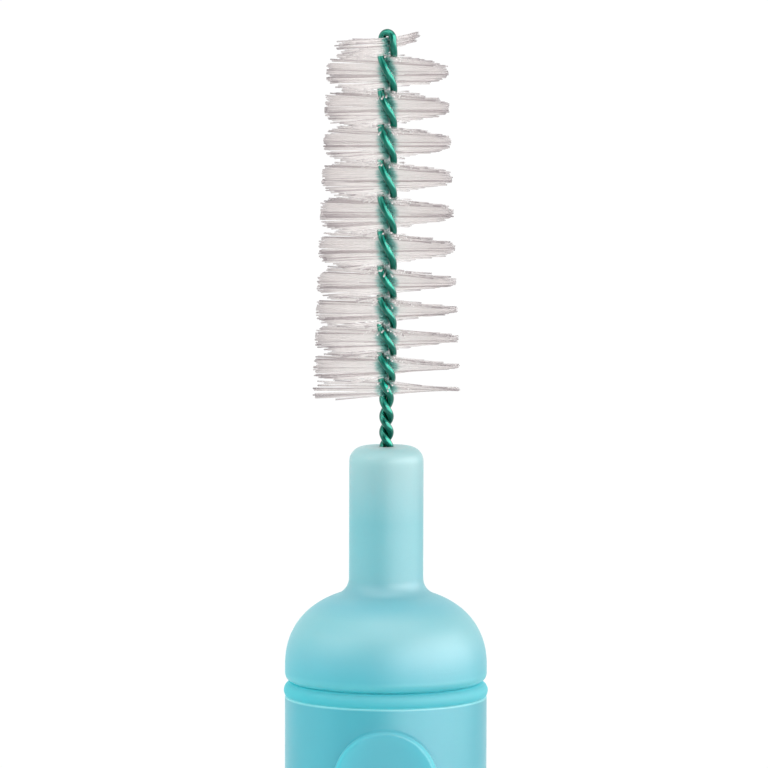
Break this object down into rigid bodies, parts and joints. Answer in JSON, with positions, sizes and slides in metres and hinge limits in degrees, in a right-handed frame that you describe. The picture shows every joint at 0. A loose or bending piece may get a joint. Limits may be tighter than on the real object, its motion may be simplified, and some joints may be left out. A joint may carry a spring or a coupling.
{
  "type": "interdental brush",
  "caption": "Slim interdental brush: twisted-in wire with spiral nylon bristles, a domed hub and a slim round holder that the brush head clicks into.",
  "frame": {"origin": "middle of the foot of the holder, on the surface that the part stands on", "axes": "+Z along the brush towards its tip, -Y the front with the round pad, +X to the right seen from the front"},
  "size_m": [0.0068, 0.0069, 0.06],
  "materials": {
    "holder_plastic": "moulded, satin gloss",
    "hub_plastic": "moulded, frosted, slightly see-through",
    "lacquered_wire": "steel wire with a glossy green lacquer",
    "nylon_filament": "drawn filament, pale and slightly see-through"
  },
  "bodies": {
    "holder": {"holder_barrel": "holder_plastic"},
    "brush_head": {"brush_hub": "hub_plastic", "twisted_wire": "lacquered_wire", "bristle_row_01": "nylon_filament", "bristle_row_02": "nylon_filament", "bristle_row_03": "nylon_filament", "bristle_row_04": "nylon_filament", "bristle_row_05": "nylon_filament", "bristle_row_06": "nylon_filament", "bristle_row_07": "nylon_filament", "bristle_row_08": "nylon_filament", "bristle_row_09": "nylon_filament", "bristle_row_10": "nylon_filament", "bristle_row_11": "nylon_filament", "bristle_row_12": "nylon_filament"}
  },
  "joints": [
    {"name": "head_pull", "type": "slide", "parent": "holder", "child": "brush_head", "axis": [0, 0, 1], "range_m": [0, 0.008]}
  ]
}
